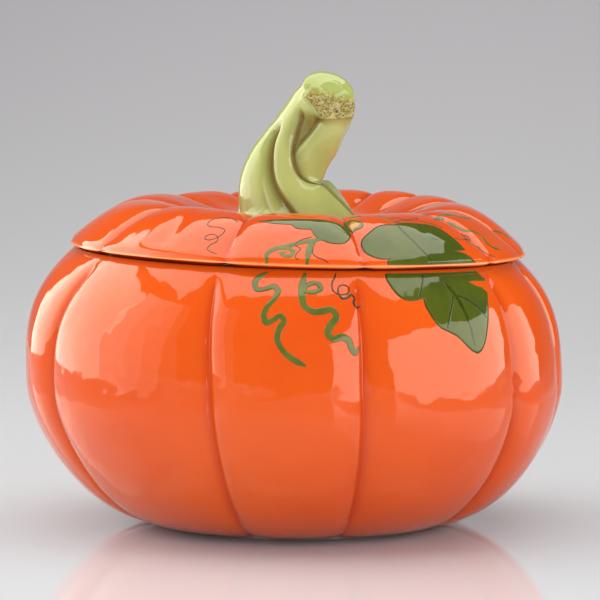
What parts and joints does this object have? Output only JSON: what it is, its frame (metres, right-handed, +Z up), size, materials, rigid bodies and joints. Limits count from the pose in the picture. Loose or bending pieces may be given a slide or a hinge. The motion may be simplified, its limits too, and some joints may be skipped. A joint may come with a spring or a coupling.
{
  "type": "lidded tureen",
  "caption": "Ribbed round ceramic tureen shaped as a pumpkin, with a domed lid that lifts off by a twisted hollow stem handle.",
  "frame": {"origin": "on the table, under the middle of the bowl", "axes": "+Z up, the way the lid lifts; the front, with the painted leaves, faces -Y; +X to the right seen from the front"},
  "size_m": [0.2587, 0.2578, 0.2174],
  "materials": {
    "bowl_glaze": "gloss",
    "lid_glaze": "gloss",
    "stem_glaze": "gloss",
    "flange_glaze": "gloss",
    "bare_clay": "matte"
  },
  "bodies": {
    "bowl": {"bowl": "bowl_glaze", "foot_ring": "bare_clay"},
    "lid": {"lid": "lid_glaze", "lid_flange": "flange_glaze", "stem_handle": "stem_glaze"}
  },
  "joints": [
    {"name": "lid_lift", "type": "slide", "parent": "bowl", "child": "lid", "axis": [0, 0, 1], "range_m": [0, 0.15]}
  ]
}
